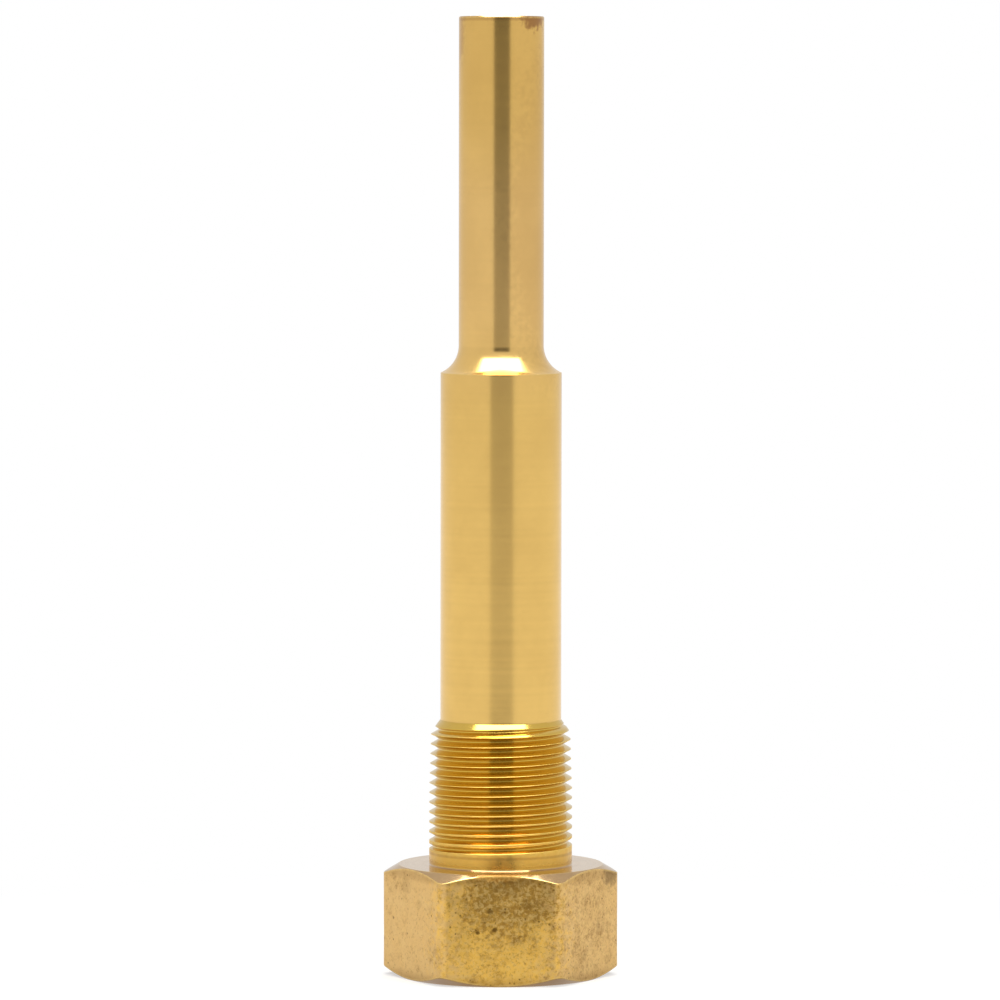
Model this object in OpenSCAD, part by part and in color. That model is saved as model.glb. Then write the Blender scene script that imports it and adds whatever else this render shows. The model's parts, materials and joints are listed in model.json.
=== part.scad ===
// Thermowell: a closed protection tube, turned and drilled in one piece from hexagon bar.
// It stands on the open face of its hexagon head, with the closed tip upwards.
// The origin is the centre of that face, +Z runs along the axis, all sizes in millimetres.

/* [Hexagon head] */
// Distance across the flats of the bar
hex_flats = 38.3; // [36:0.1:46]
// Height of the head along the axis
hex_height = 20.65; // [18.5:0.05:32]
// Radius of the six corners of the drawn bar
hex_corner_r = 2.5; // [0.5:0.1:4]
// How far the edge of each turned face lies inside the flats
hex_face_inset = 0.2; // [0.05:0.05:1]
// Angle of both end chamfers to the face
hex_chamfer_angle = 30; // [15:1:40]

/* [Process thread] */
// Threads to the inch of the outside taper thread
threads_per_inch = 14; // [11.5:0.5:18]
// Pitch diameter at the small end
thread_pitch_d = 24.25; // [24.1:0.01:25.2]
// Diameter of the turned blank that the thread is cut in
thread_blank_d = 26.55; // [26.2:0.05:28]
// Length from the head to the shank
thread_length = 26.95; // [20:0.05:40]
// Plain land left next to the head
thread_land = 1.6; // [1:0.1:5]
// Angle of the lead-in chamfer to the axis
thread_lead_angle = 36; // [30:1:60]
// Length over which the last groove fades out next to the land
thread_runout = 2.8; // [0.2:0.1:4]
// Turns the whole thread round the axis
thread_turn = 13; // [0:1:359]

/* [Shank and tip] */
// Diameter of the shank
shank_d = 22.45; // [18.5:0.05:22.6]
// Length of the shank, from the thread to the shoulder
shank_length = 64.4; // [20:0.05:160]
// Diameter of the reduced tip
tip_d = 15.75; // [13.5:0.05:18]
// Length of the tip, from the shoulder to the closed end
tip_length = 65.8; // [30:0.1:150]
// Radius of the hollow between the shoulder and the tip
shoulder_r = 5.5; // [1:0.1:9]
// Chamfer on the edge of the closed end
tip_chamfer = 0.3; // [0.1:0.05:1.5]

/* [Instrument socket] */
// Crest diameter of the inside thread for the instrument's nut
socket_d = 30.2; // [27:0.1:32]
// Depth of the socket below the open face
socket_depth = 14.3; // [9:0.1:16.5]
// Chamfer at the mouth of the socket
socket_chamfer = 1.05; // [0.3:0.05:1.5]

/* [Bores] */
// Bore through the head, thread and shank
shank_bore_d = 15.9; // [12.5:0.1:17.5]
// Chamfer where that bore opens on the socket floor
shank_bore_chamfer = 1; // [0.2:0.1:2]
// How far that bore stops short of the shoulder
shank_bore_setback = 3.2; // [1.5:0.1:15]
// Bore that holds the sensing bulb in the tip
tip_bore_d = 11.1; // [7:0.1:12]
// Solid metal left beyond the point of the tip bore
end_wall = 6.35; // [3:0.05:20]
// Included angle of the drill points
drill_angle = 118; // [90:1:140]

/* [Hidden] */
$fn = 96;
inch = 25.4;
over = 1; // how far a cutter reaches past the metal

// Heights of the features above the open face
thread_foot_z = hex_height + thread_land;
shank_z = hex_height + thread_length;
shoulder_z = shank_z + shank_length;
end_z = shoulder_z + tip_length;

// Hexagon: the corners are arcs, so the widest radius is less than a sharp corner's
corner_centre_r = (hex_flats / 2 - hex_corner_r) / cos(30);
hex_corner_reach = corner_centre_r + hex_corner_r;
hex_face_r = hex_flats / 2 - hex_face_inset;

// Taper pipe thread: 60 degree form, 1 in 16 on the diameter, truncated roots and crests
pitch = inch / threads_per_inch;
taper = 1 / 16;
flank_angle = 30;
root_flat = 0.19 * pitch; // stands for the rounded nose of the tool
least_crest_flat = 0.06 * pitch;
root_depth = (pitch / 2 - root_flat) / (2 * tan(flank_angle)); // below the pitch line
thread_steps = 40; // facets to the turn
land_r = thread_blank_d / 2;
blank_r = land_r - 0.05; // the threaded part is a hair smaller, so its facets stay inside the land

// Root radius at height z: it follows the taper, and rises to the blank where the groove fades out
function taper_root_r(z) = (thread_pitch_d + taper * (shank_z - z)) / 2 - root_depth;
function fade(z) = min(1, max(0, (z - thread_foot_z) / thread_runout));
function root_r(z) = blank_r - (blank_r - taper_root_r(z)) * fade(z);

// Height of a drill's point on a bore that starts from a given radius
function point_height(r) = r / tan(drill_angle / 2);

// Bores, from the open face upwards
shank_bore_r = shank_bore_d / 2;
tip_bore_r = tip_bore_d / 2;
shank_bore_end_z = shoulder_z - shank_bore_setback;
tip_bore_start_z = shank_bore_end_z + point_height(shank_bore_r - tip_bore_r);
tip_bore_end_z = end_z - end_wall - point_height(tip_bore_r);

// Outline of the hexagon bar, with a flat towards -Y and +Y
module hex_outline() {
  polygon([for (k = [0:5], side = [-1, 1])
    corner_centre_r * [cos(60 * k), sin(60 * k)]
      + hex_corner_r * [cos(60 * k + 30 * side), sin(60 * k + 30 * side)]]);
  for (k = [0:5])
    rotate(60 * k) translate([corner_centre_r, 0]) circle(r = hex_corner_r);
}

// Head: a length of the bar, chamfered on both faces
module hex_head() {
  far_r = hex_corner_reach + over;
  drop = (far_r - hex_face_r) * tan(hex_chamfer_angle);
  intersection() {
    linear_extrude(hex_height) hex_outline();
    rotate_extrude() polygon([
      [0, 0], [hex_face_r, 0], [far_r, drop],
      [far_r, hex_height - drop], [hex_face_r, hex_height], [0, hex_height]]);
  }
}

// Groove edge heights, from its centre: the flanks run out to the blank or meet in a crest
function half_mouth(z) =
  min(root_flat / 2 + (blank_r - root_r(z)) * tan(flank_angle), (pitch - least_crest_flat) / 2);

// Radius that the flanks of the groove centred on z reach
function mouth_r(z) = root_r(z) + (half_mouth(z) - root_flat / 2) / tan(flank_angle);

// The four edges of one turn, in half section: both root edges, then both crest edges
function turn_section(z) = [
  [root_r(z), z - root_flat / 2],
  [root_r(z), z + root_flat / 2],
  [mouth_r(z), z + half_mouth(z)],
  [mouth_r(z + pitch), z + pitch - half_mouth(z + pitch)]];

// Solid right-hand thread of a whole number of turns, starting at height z
module threaded_rod(z, turns) {
  rows = 4 * turns;
  points = [for (i = [0:thread_steps - 1], t = [0:turns - 1],
      p = turn_section(z + pitch * (t + i / thread_steps)))
    [p[0] * cos(360 * i / thread_steps), p[0] * sin(360 * i / thread_steps), p[1]]];
  // A full turn on, each row meets the row one pitch higher
  function at(i, row) = i < thread_steps ? i * rows + row : row + 4;
  foot = thread_steps * rows;
  sides = [for (i = [0:thread_steps - 1], row = [0:(i < thread_steps - 1 ? rows - 2 : rows - 6)],
      half = [0, 1])
    half == 0 ? [at(i, row), at(i, row + 1), at(i + 1, row)]
              : [at(i + 1, row), at(i, row + 1), at(i + 1, row + 1)]];
  last = thread_steps - 1;
  foot_edge = concat([for (i = [0:last]) at(i, 0)], [for (row = [4:-1:1]) at(0, row)]);
  top_edge = concat([for (i = [0:last]) at(i, rows - 1)],
    [for (row = [rows - 2:-1:rows - 5]) at(last, row)]);
  caps = concat(
    [for (k = [0:len(foot_edge) - 1]) [foot, foot_edge[k], foot_edge[(k + 1) % len(foot_edge)]]],
    [for (k = [0:len(top_edge) - 1]) [foot + 1, top_edge[(k + 1) % len(top_edge)], top_edge[k]]]);
  polyhedron(concat(points, [[0, 0, z], [0, 0, z + turns * pitch]]), concat(sides, caps));
}

// Threaded length: plain land, then the thread, trimmed by its lead-in chamfer
module process_thread() {
  lead = (blank_r - shank_d / 2) / tan(thread_lead_angle);
  over_lead = over / tan(thread_lead_angle);
  turns = ceil((thread_length - thread_land) / pitch) + 3;
  translate([0, 0, hex_height - over]) cylinder(r = land_r, h = thread_land + over);
  intersection() {
    rotate(thread_turn) threaded_rod(thread_foot_z - 1.5 * pitch, turns);
    rotate_extrude() polygon([
      [0, thread_foot_z], [blank_r + over, thread_foot_z],
      [blank_r + over, shank_z - lead - over_lead], [shank_d / 2, shank_z], [0, shank_z]]);
  }
}

// Shank, hollowed shoulder and tip, turned in one outline
module shank_and_tip() {
  shank_r = shank_d / 2;
  tip_r = tip_d / 2;
  hollow_w = min(shank_r - tip_r, shoulder_r);
  hollow_h = sqrt(shoulder_r^2 - (shoulder_r - hollow_w)^2);
  rotate_extrude() {
    polygon([
      [0, shank_z - over], [shank_r, shank_z - over], [shank_r, shoulder_z],
      [tip_r, shoulder_z], [tip_r, end_z - tip_chamfer],
      [tip_r - tip_chamfer, end_z], [0, end_z]]);
    difference() {
      translate([tip_r - over, shoulder_z - over]) square([hollow_w + over, hollow_h + over]);
      translate([tip_r + shoulder_r, shoulder_z + hollow_h]) circle(r = shoulder_r);
    }
  }
}

// Everything drilled and bored from the open face, with the drill points left in
module bores() {
  mouth_r = socket_d / 2 + socket_chamfer;
  seat_r = shank_bore_r + shank_bore_chamfer;
  rotate_extrude() polygon([
    [0, -over], [mouth_r + over, -over], [socket_d / 2, socket_chamfer],
    [socket_d / 2, socket_depth], [seat_r, socket_depth],
    [shank_bore_r, socket_depth + shank_bore_chamfer],
    [shank_bore_r, shank_bore_end_z], [tip_bore_r, tip_bore_start_z],
    [tip_bore_r, tip_bore_end_z], [0, end_z - end_wall]]);
}

module thermowell() {
  color([0.80, 0.61, 0.31])
  difference() {
    union() {
      hex_head();
      process_thread();
      shank_and_tip();
    }
    bores();
  }
}

thermowell();
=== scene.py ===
"""Finished look of a brass thermowell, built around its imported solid, with the stage it stands on."""

import json
import math
from collections import namedtuple

import bpy
from mathutils import Matrix, Vector


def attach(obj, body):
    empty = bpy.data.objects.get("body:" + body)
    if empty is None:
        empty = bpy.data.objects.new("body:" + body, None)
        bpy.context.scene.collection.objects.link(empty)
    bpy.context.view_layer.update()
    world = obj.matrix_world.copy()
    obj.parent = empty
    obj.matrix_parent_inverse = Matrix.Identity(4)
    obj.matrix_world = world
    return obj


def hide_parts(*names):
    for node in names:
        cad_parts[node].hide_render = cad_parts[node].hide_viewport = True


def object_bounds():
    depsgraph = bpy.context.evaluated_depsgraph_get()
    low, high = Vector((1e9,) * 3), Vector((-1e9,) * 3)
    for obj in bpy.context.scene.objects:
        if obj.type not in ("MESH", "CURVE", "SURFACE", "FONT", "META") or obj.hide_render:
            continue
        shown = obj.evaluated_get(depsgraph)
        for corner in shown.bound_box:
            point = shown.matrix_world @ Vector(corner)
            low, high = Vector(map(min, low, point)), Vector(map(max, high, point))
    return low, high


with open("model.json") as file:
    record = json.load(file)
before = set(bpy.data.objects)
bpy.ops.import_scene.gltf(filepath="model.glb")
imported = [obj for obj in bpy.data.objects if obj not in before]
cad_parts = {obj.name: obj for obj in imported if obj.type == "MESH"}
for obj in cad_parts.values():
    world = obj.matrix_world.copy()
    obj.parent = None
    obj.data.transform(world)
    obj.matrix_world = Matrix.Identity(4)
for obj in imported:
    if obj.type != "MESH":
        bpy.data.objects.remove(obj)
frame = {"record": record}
CAD_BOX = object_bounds()

bl_info = {
    "name": "Thermowell",
    "version": (1, 0, 0),
    "blender": (4, 5, 0),
    "location": "View3D > Sidebar > Thermowell",
    "description": "Builds a turned brass thermowell with cut threads and the stage it stands on",
    "category": "Add Mesh",
}

MM = 0.001
INCH = 25.4 * MM
NODE = "thermowell"
MOUNTS = {mount["name"]: mount for mount in frame["record"]["mounts"]}
WHITE = (1, 1, 1, 1)

# Half of the 60 degrees between the flanks of both threads
FLANK_ANGLE = math.radians(30)
# Half of the 60 degrees that a side of the hexagon spans
HALF_SIDE = math.radians(30)
# Half of the angle of a drill's point
DRILL_HALF_ANGLE = math.radians(59)

# One corner of a half section: radius, height, rounding of the corner, and the finish that follows it
Corner = namedtuple("Corner", "radius height rounding finish")

# Finishes, in the order of the material slots
TURNED, THREADED, DRAWN, FACED, DRILLED = range(5)
FINISH_NAMES = ("Turned brass", "Thread brass", "Drawn bar brass", "Faced brass", "Drilled brass")

# A stain on the tip: its place round the axis, in shares of the tip's radius along X and Y, its distance
# below the closed end and its radius, both in millimetres, its height for its width, and its darkness
Stain = namedtuple("Stain", "x y below radius stretch depth")
STAINS = (
    Stain(0.77, -0.64, 0.3, 4.4, 0.6, 0.9),
    Stain(-0.97, -0.25, 3.0, 2.6, 2.6, 0.35),
    Stain(0.15, -0.98, 0.0, 1.2, 0.4, 0.5),
    Stain(0.85, -0.5, 38.0, 9.0, 4.0, 0.13),
)

# A mark on the drawn bar: its side, counted from -Y towards +X, its distance from the middle of that side,
# its height and its radius, all three in millimetres, and its darkness
Mark = namedtuple("Mark", "side across height radius depth")
MARKS = (
    Mark(0, -4.1, 10.0, 0.55, 0.75),
    Mark(0, -1.1, 10.6, 0.65, 0.75),
    Mark(0, -2.0, 14.0, 0.8, 0.6),
    Mark(0, 1.5, 18.5, 3.6, 0.25),
    Mark(0, 4.5, 15.2, 1.6, 0.25),
    Mark(0, 0.8, 13.8, 1.2, 0.25),
    Mark(1, 7.7, 19.0, 3.6, 0.55),
    Mark(1, -2.2, 4.6, 1.2, 0.2),
    Mark(1, 2.85, 9.8, 0.9, 0.2),
    Mark(-1, -1.85, 17.5, 2.4, 0.12),
    Mark(-1, -6.55, 11.0, 0.5, 0.3),
    Mark(-1, 3.25, 14.5, 1.4, 0.14),
)


def mount_radius(name):
    """Radius that the frame's record states for a bore."""
    return MOUNTS[name]["dims"]["r_mm"] * MM


def length(name, description, default):
    """A length property, in metres."""
    return bpy.props.FloatProperty(
        name=name, description=description, default=default, min=0, precision=5, unit="LENGTH"
    )


def colour(name, description, default):
    """A colour property, as linear red, green and blue."""
    return bpy.props.FloatVectorProperty(
        name=name, description=description, default=default, min=0, max=1, size=3, subtype="COLOR"
    )


def fraction(name, description, default):
    """A property from 0 to 1."""
    return bpy.props.FloatProperty(
        name=name, description=description, default=default, min=0, max=1, subtype="FACTOR"
    )


def angle(name, description, degrees):
    """An angle property, in radians."""
    return bpy.props.FloatProperty(
        name=name, description=description, default=math.radians(degrees), subtype="ANGLE"
    )


class ThermowellSizes(bpy.types.PropertyGroup):
    """Sizes of the thermowell, from the open face of its head to the closed tip."""

    overall: length("Overall length", "From the open face to the closed tip", CAD_BOX[1].z)
    hex_flats: length("Across flats", "Width of the hexagon bar", 38.3 * MM)
    hex_height: length("Head height", "Height of the hexagon head", 20.65 * MM)
    hex_corner: length("Bar corner radius", "Radius of the bar's six corners", 2.5 * MM)
    hex_inset: length("Face inset", "How far a turned face lies inside the flats", 0.2 * MM)
    hex_chamfer: angle("Head chamfer", "Angle of the head's chamfers to its faces", 30)
    thread_length: length("Thread length", "From the head to the shank", 26.95 * MM)
    land_length: length("Land", "Plain length between the head and the thread", 1.6 * MM)
    land_d: length("Blank diameter", "Diameter of the turned blank of the thread", 26.55 * MM)
    thread_runout: length("Run-out", "Length over which the last groove fades out", 2.8 * MM)
    thread_turn: angle("Thread turn", "Turn of the whole thread round the axis", 13)
    pitch_d: length("Pitch diameter", "Pitch diameter at the small end", 24.25 * MM)
    lead_angle: angle("Lead-in angle", "Angle of the lead-in chamfer to the axis", 36)
    nose_r: length("Tool nose", "Radius left in the roots of the outside thread", 0.2 * MM)
    shank_d: length("Shank diameter", "Diameter of the plain shank", 22.45 * MM)
    shank_length: length("Shank length", "From the thread to the shoulder", 64.4 * MM)
    tip_d: length("Tip diameter", "Diameter of the reduced tip", 15.75 * MM)
    shoulder_r: length("Shoulder hollow", "Radius of the hollow under the tip", 5.5 * MM)
    tip_chamfer: length("Tip chamfer", "Chamfer on the edge of the closed end", 0.2 * MM)
    socket_r: length("Socket radius", "Crest radius of the inside thread", mount_radius("instrument_socket"))
    socket_depth: length("Socket depth", "Depth of the instrument socket", 14.3 * MM)
    bore_r: length("Bore radius", "Radius of the bore in the shank", mount_radius("shank_bore"))
    bulb_r: length("Bulb bore radius", "Radius of the bore in the tip", mount_radius("bulb_bore"))
    bore_setback: length("Bore setback", "How far the wide bore stops short of the shoulder", 3.2 * MM)
    end_wall: length("End wall", "Solid metal beyond the point of the tip bore", 6.35 * MM)


class ThermowellFinish(bpy.types.PropertyGroup):
    """Colours and wear of the brass."""

    brass: colour("Brass", "Freshly turned brass", (0.835, 0.545, 0.165))
    pale_brass: colour("Pale brass", "Turned brass low on the tip", (0.847, 0.548, 0.195))
    handled: colour("Handled brass", "Turned brass dulled by hands near the closed end", (0.8, 0.505, 0.148))
    land_brass: colour("Land brass", "Turned land between the head and the thread", (0.66, 0.405, 0.082))
    thread_brass: colour("Thread brass", "Brass in the cut grooves", (0.70, 0.465, 0.095))
    raw_brass: colour("Raw brass", "Drawn surface of the bar", (0.755, 0.485, 0.18))
    faced_brass: colour("Faced brass", "Faced ends and chamfers of the head", (0.68, 0.47, 0.25))
    # Painted reflection: the deeper, more saturated colour of the -Y face, which reflects the dark gap before
    # the camera
    painted_front_brass: colour("Deep brass", "Drawn surface where it has darkened", (0.94, 0.56, 0.092))
    # Also the colour of the painted shade low on the head and on its chamfers
    tarnish: colour("Tarnish", "Brown patches on the drawn bar", (0.28, 0.135, 0.026))
    stain: colour("Stain", "Heat and handling stain on the turned tip", (0.36, 0.17, 0.06))
    # Also the colour of the painted glints on the drawn bar
    bright: colour("Bright edge", "Rubbed edges", (0.86, 0.60, 0.21))
    wear: fraction("Edge wear", "How far the edges are rubbed bright", 0.6)
    patches: fraction("Patches", "Share of the drawn faces that is tarnished", 0.45)


class ThermowellStage(bpy.types.PropertyGroup):
    """Camera, floor and lights."""

    distance: length("Camera distance", "From the axis to the camera", 1.203)
    camera_height: length("Camera height", "Height of the camera above the floor", 0.16042)
    aim_height: length("Aim height", "Height of the point on the axis that is looked at", 0.08836)
    turn: angle("Camera turn", "Turn of the camera round the axis, towards -X", 0)
    aside: length("Camera aside", "How far the camera stands to the left of the axis", 0.19 * MM)
    roll: angle("Camera roll", "Roll of the camera", 0.07)
    lens: bpy.props.FloatProperty(
        name="Lens", description="Focal length in millimetres on a 36 mm sensor", default=234, min=10
    )
    wall_level: fraction("Wall level", "Brightness of the studio walls in reflections", 0.82)
    gap_level: fraction("Gap level", "Brightness of the dark gap that the camera looks through", 0.2)
    top_level: bpy.props.FloatProperty(
        name="Top level", description="Brightness of the soft box overhead in reflections", default=8, min=0
    )
    lamp_power: bpy.props.FloatProperty(
        name="Lamp power", description="Power of each soft lamp", default=7, min=0, unit="POWER"
    )


# ---------------------------------------------------------------- the skin


def put_in_scene(name, data):
    """Makes an object of a mesh, lamp or camera."""
    made = bpy.data.objects.new(name, data)
    bpy.context.scene.collection.objects.link(made)
    return made


def neighbours(loop):
    """Each point of a closed loop with the next."""
    return zip(loop, loop[1:] + loop[:1])


class Skin:
    """One closed skin, grown loop by loop from the closed tip to the end of the bore."""

    def __init__(self, angles):
        self.angles = angles
        self.points = []
        self.edge_wear = []
        self.faces = []
        self.finishes = []

    def point(self, radius, height, turn, wear=0.0):
        """Adds one point and gives its number."""
        self.points.append((radius * math.cos(turn), radius * math.sin(turn), height))
        self.edge_wear.append(wear)
        return len(self.points) - 1

    def face(self, corners, finish, outside=True):
        """Adds one face, its corners in order as seen from outside, or turned round for the inside."""
        self.faces.append(corners if outside else corners[::-1])
        self.finishes.append(finish)

    def loop(self, column_points):
        """Adds one closed loop; column_points has a (radius, height, wear) for each angle."""
        return [self.point(r, z, turn, wear) for turn, (r, z, wear) in zip(self.angles, column_points)]

    def strip(self, first, second, finish):
        """Joins two closed loops, in the order of the section's outline."""
        for (a, b), (c, d) in zip(neighbours(first), neighbours(second)):
            self.face((a, c, d, b), finish)

    def cap(self, loop, height, finish, starts):
        """Closes the skin at a point on the axis, at its start or at its end."""
        centre = self.point(0, height, 0)
        for a, b in neighbours(loop):
            self.face((centre, a, b) if starts else (a, centre, b), finish)

    def outline(self, columns):
        """Adds the loops of a rounded section; columns has one list of corners for each angle."""
        sections = {}
        rounded = []
        for corners in columns:
            key = tuple(corners)
            if key not in sections:
                sections[key] = round_section(corners)
            rounded.append(sections[key])
        loops = [self.loop([point[:3] for point in points]) for points in zip(*rounded)]
        finishes = [point[3] for point in rounded[0]]
        for above, below, finish in zip(loops, loops[1:], finishes):
            self.strip(above, below, finish)
        return loops[0], loops[-1]

    def thread(self, section, start, pitch, turns, outside, finish, plain_above=math.inf):
        """Adds the sheared rows of a right-hand thread.

        section(height) gives the rows of one pitch, upwards, as (radius, height, wear).
        Faces that lie wholly above plain_above are turned instead of threaded.
        Gives back the columns and the rows per pitch, for close_thread().
        """
        columns = []
        for turn in self.angles:
            rise = pitch * turn / (2 * math.pi)
            column = []
            for level in range(turns):
                for r, z, wear in section(start + rise + level * pitch):
                    column.append(self.point(r, z, turn, wear))
            columns.append(column)
        rows_per_pitch = len(columns[0]) // turns
        count = len(columns)
        for i in range(count):
            wraps = i == count - 1
            shift = rows_per_pitch if wraps else 0
            right = columns[(i + 1) % count]
            left = columns[i]
            for row in range(len(left) - 1 - shift):
                corners = (left[row + 1], left[row], right[row + shift], right[row + 1 + shift])
                plain = min(self.points[corner][2] for corner in corners) > plain_above
                self.face(corners, TURNED if plain else finish, outside)
        return columns, rows_per_pitch

    def close_thread(self, columns, rows_per_pitch, foot, head, outside, finishes):
        """Joins the spiral edges of a thread to the plain loops below and above it."""
        finish_below, finish_above = finishes
        last = len(columns) - 1
        for i in range(last):
            below = (columns[i][0], foot[i], foot[i + 1], columns[i + 1][0])
            above = (head[i], columns[i][-1], columns[i + 1][-1], head[i + 1])
            self.face(below, finish_below, outside)
            self.face(above, finish_above, outside)
        seam = [columns[0][row] for row in range(rows_per_pitch + 1)]
        below = [columns[last][0], foot[last], foot[0], *seam]
        self.face(below, finish_below, outside)
        seam = [columns[last][-1 - row] for row in range(rows_per_pitch + 1)]
        above = [head[last], *seam, columns[0][-1], head[0]]
        self.face(above, finish_above, outside)

    def mesh(self, name):
        """Makes the mesh, with the wear of its edges as an attribute."""
        mesh = bpy.data.meshes.new(name)
        mesh.from_pydata(self.points, [], self.faces)
        mesh.polygons.foreach_set("material_index", self.finishes)
        mesh.polygons.foreach_set("use_smooth", [True] * len(self.faces))
        wear = mesh.attributes.new("edge_wear", "FLOAT", "POINT")
        wear.data.foreach_set("value", self.edge_wear)
        mesh.update()
        if mesh.validate():
            raise RuntimeError(f"the skin of {name} has faults")
        return mesh


def round_section(corners, steps=3, worn_width=0.3 * MM):
    """Turns the corners of a section into points (radius, height, wear, finish).

    A convex corner is worn, and the wear ends at one more point on each side of it.
    """
    places = [Vector((corner.radius, corner.height)) for corner in corners]
    points = []
    for k, corner in enumerate(corners):
        here = places[k]
        if not corner.rounding or k in (0, len(corners) - 1):
            points.append((here.x, here.y, 0.0, corner.finish))
            continue
        back, ahead = places[k - 1] - here, places[k + 1] - here
        turned = back.angle(ahead)
        reach = min(corner.rounding / math.tan(turned / 2), 0.45 * back.length, 0.45 * ahead.length)
        start = here + back.normalized() * reach
        end = here + ahead.normalized() * reach
        convex = back.x * ahead.y - back.y * ahead.x > 0
        if convex:
            place = start + back.normalized() * min(worn_width, 0.4 * (back.length - 2 * reach))
            points.append((place.x, place.y, 0.0, corners[k - 1].finish))
        for step in range(steps + 1):
            t = step / steps
            place = start * (1 - t) ** 2 + here * 2 * t * (1 - t) + end * t**2
            points.append((place.x, place.y, float(convex), corner.finish))
        if convex:
            place = end + ahead.normalized() * min(worn_width, 0.4 * (ahead.length - 2 * reach))
            points.append((place.x, place.y, 0.0, corner.finish))
    return points


def hexagon_columns(sizes):
    """Angles of the skin's columns, with the radius of the hexagon bar at each."""
    corner_steps, flat_steps = 8, 20
    flat_r = sizes.hex_flats / 2
    centre_r = (flat_r - sizes.hex_corner) / math.cos(HALF_SIDE)
    columns = []
    for k in range(6):
        direction = 2 * HALF_SIDE * k
        for step in range(corner_steps + 1):
            lean = HALF_SIDE * (2 * step / corner_steps - 1)
            across = Vector((math.cos(lean), math.sin(lean)))
            place = Vector((centre_r, 0)) + sizes.hex_corner * across
            columns.append((direction + math.atan2(place.y, place.x), place.length))
        half_corner = columns[-1][0] - direction
        for step in range(1, flat_steps):
            turn = half_corner + 2 * (HALF_SIDE - half_corner) * step / flat_steps
            columns.append((direction + turn, flat_r / math.cos(turn - HALF_SIDE)))
    return columns


def taper_thread_section(sizes):
    """The outside taper pipe thread: gives a function from height to the rows of one pitch."""
    pitch = INCH / 14
    taper = 1 / 16
    flank = math.tan(FLANK_ANGLE)
    crest_half = 0.02 * pitch
    # Depth of the rounded root below the pitch line
    root_depth = pitch / (4 * flank) - sizes.nose_r
    blank_r = sizes.land_d / 2
    shank_r = sizes.shank_d / 2
    foot = sizes.hex_height + sizes.land_length
    end = sizes.hex_height + sizes.thread_length
    lead_softness = 0.12 * MM
    # Rows on a flank, as shares of its height from the crest down, close together on the rounded root
    down_flank = (1, 0.97, 0.82, 0.66, 0.5, 0.34, 0.155, 0.073, 0.019, 0)

    def half_width(rise):
        """Half width of the groove at a rise above its root, which is an arc of the tool's nose."""
        if rise < sizes.nose_r / 2:
            return math.sqrt(rise * (2 * sizes.nose_r - rise))
        return sizes.nose_r * math.cos(FLANK_ANGLE) + (rise - sizes.nose_r / 2) * flank

    def cut(height):
        """How far the groove is cut: 0 at the land, 1 from the end of the run-out on."""
        return min(1, max(0, (height - foot) / sizes.thread_runout))

    def edges(height):
        """Root radius and mouth radius of the groove centred on a height."""
        full_r = (sizes.pitch_d + taper * (end - height)) / 2 - root_depth
        root_r = blank_r - (blank_r - full_r) * cut(height)
        full_rise = (pitch / 2 - crest_half - half_width(sizes.nose_r / 2)) / flank + sizes.nose_r / 2
        return root_r, min(blank_r, root_r + full_rise)

    def lead_in(height):
        """Radius of the lead-in chamfer and the shank beyond it, softly joined."""
        left = end - height
        if abs(left) < lead_softness:
            left = (left + lead_softness) ** 2 / (4 * lead_softness)
        return shank_r + math.tan(sizes.lead_angle) * max(left, 0)

    def section(height):
        """Rows of the groove centred on a height, with the crest below it first."""
        root_r, mouth_r = edges(height)
        below_r = edges(height - pitch)[1]
        wear = cut(height)
        rows = [((mouth_r + below_r) / 2, height - pitch / 2, wear)]
        for side, flank_shares in ((-1, down_flank), (1, down_flank[-2::-1])):
            for reach in flank_shares:
                rise = (mouth_r - root_r) * reach
                rows.append((root_r + rise, height + side * half_width(rise), wear * (reach == 1)))
        return [(min(r, lead_in(z)), z, worn if r < lead_in(z) else 0.0) for r, z, worn in rows]

    return section, pitch


def socket_thread_section(sizes):
    """The inside thread of the instrument socket, between its counterbore and its plain end."""
    pitch = INCH / 18
    depth = 0.55 * pitch
    root_half = pitch / 16
    mouth_half = root_half + depth * math.tan(FLANK_ANGLE)
    relief_r = sizes.socket_r + depth + 0.08 * MM
    relief_end = 1.9 * MM
    plain_start = sizes.socket_depth - 2.6 * MM
    shares = (1, 0.86, 0.5, 0.14, 0)

    def section(height):
        """Rows of the groove centred on a height, with the crest below it first."""
        fade = min(1, max(0, (plain_start - height) / (1.5 * pitch)))
        rows = [(sizes.socket_r, height - pitch / 2, 1.0)]
        for side, flank_shares in ((-1, shares), (1, shares[::-1])):
            for reach in flank_shares:
                r = sizes.socket_r + depth * fade * (1 - reach)
                z = height + side * (root_half + (mouth_half - root_half) * reach)
                rows.append((r, z, 0.0))
        return [(max(r, min(relief_r, relief_r - (z - relief_end))), z, wear) for r, z, wear in rows]

    return section, pitch, relief_r


def shoulder_height(sizes):
    """Height of the shoulder, where the shank ends."""
    return sizes.hex_height + sizes.thread_length + sizes.shank_length


def tip_section(sizes, lowest):
    """Half section of the closed end, tip, hollow shoulder and shank, down to a lowest height."""
    tip_r, shank_r, hollow_r = sizes.tip_d / 2, sizes.shank_d / 2, sizes.shoulder_r
    section = [
        Corner(0.6 * tip_r, sizes.overall, 0, FACED),
        Corner(tip_r - sizes.tip_chamfer, sizes.overall, 0.08 * MM, TURNED),
        Corner(tip_r, sizes.overall - sizes.tip_chamfer, 0.1 * MM, TURNED),
    ]
    hollow_steps = 14
    hollow_turn = math.acos((hollow_r - (shank_r - tip_r)) / hollow_r)
    centre = Vector((tip_r + hollow_r, shoulder_height(sizes) + hollow_r * math.sin(hollow_turn)))
    for step in range(hollow_steps):
        turn = hollow_turn * step / hollow_steps
        place = centre - hollow_r * Vector((math.cos(turn), math.sin(turn)))
        section.append(Corner(*place, 0, TURNED))
    section.append(Corner(shank_r, shoulder_height(sizes), 0.02 * MM, TURNED))
    section.append(Corner(shank_r, lowest, 0, TURNED))
    return section


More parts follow.
